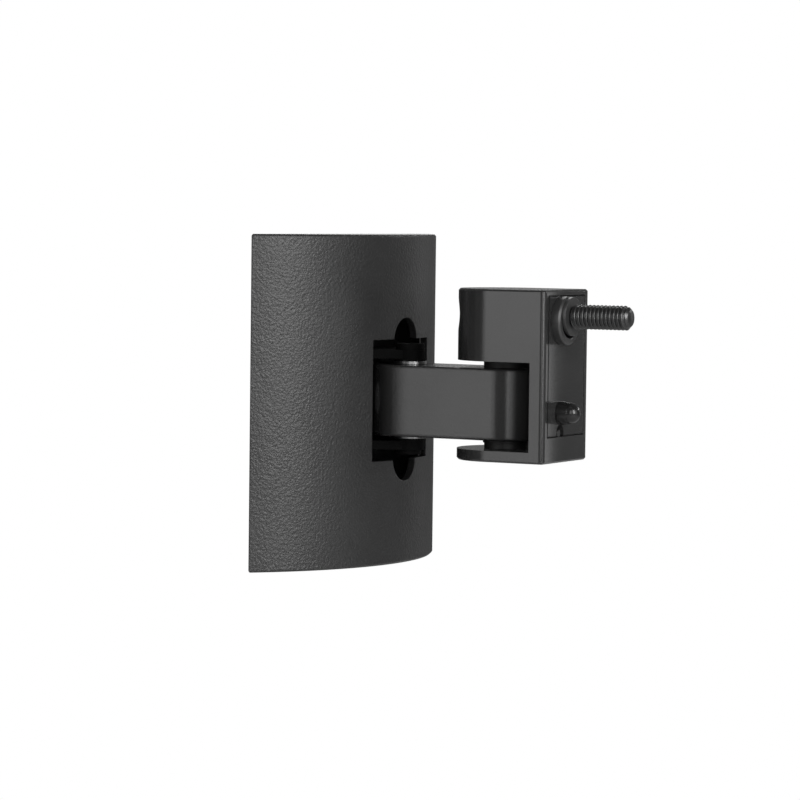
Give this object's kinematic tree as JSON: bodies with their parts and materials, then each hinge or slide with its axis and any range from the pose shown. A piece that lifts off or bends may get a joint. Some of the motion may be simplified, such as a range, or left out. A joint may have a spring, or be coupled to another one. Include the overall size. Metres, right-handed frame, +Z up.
{
  "type": "speaker wall bracket",
  "caption": "Small swivelling wall bracket for a loudspeaker: bowed cover over a wall plate, short pivoting arm, and cast head with a captive threaded stud and a locating pin.",
  "frame": {"origin": "on the wall plane, level with the middle of the arm and under its pivots", "axes": "+X out of the wall, along the arm and the stud; +Z up, along both pivots; Y across the wall"},
  "size_m": [0.0552, 0.059, 0.055],
  "materials": {
    "cover_plastic": "satin, fine leather grain",
    "plate_steel": "black powder coat",
    "arm_paint": "smooth satin",
    "head_paint": "satin with fine tooth",
    "panel_paint": "satin",
    "bush_steel": "black oxide, semi-gloss",
    "pin_steel": "black, glossy",
    "stud_steel": "black zinc",
    "dark_steel": "black oxide",
    "bright_zinc": "bright zinc",
    "nylon": "matt"
  },
  "bodies": {
    "wall": {"wall_cover": "cover_plastic", "wall_plate": "plate_steel", "wall_yoke": "plate_steel", "yoke_rivets": "dark_steel", "wall_pivot_pin": "dark_steel", "wall_washer_upper": "bright_zinc", "wall_washer_lower": "bright_zinc", "wall_spring_washer_upper": "dark_steel", "wall_spring_washer_lower": "dark_steel"},
    "arm": {"arm": "arm_paint"},
    "head": {"head_casting": "head_paint", "front_plate": "panel_paint", "stud_bush": "bush_steel", "locating_pin": "pin_steel", "head_pivot_screw": "dark_steel", "head_nylon_washer": "nylon", "head_steel_washer": "dark_steel", "head_spring_washer": "dark_steel"},
    "stud": {"stud": "stud_steel", "stud_retaining_ring": "bush_steel"}
  },
  "joints": [
    {"name": "arm_swing", "type": "hinge", "parent": "wall", "child": "arm", "pos_m": [0.01371, 0, 0], "axis": [0, 0, 1], "range_deg": [-55, 55]},
    {"name": "head_swing", "type": "hinge", "parent": "arm", "child": "head", "pos_m": [0.03211, 0, 0], "axis": [0, 0, 1], "range_deg": [-80, 80]},
    {"name": "stud_turn", "type": "hinge", "parent": "head", "child": "stud", "pos_m": [0.03521, -0.00205, 0.01465], "axis": [1, 0, 0], "continuous": true}
  ]
}
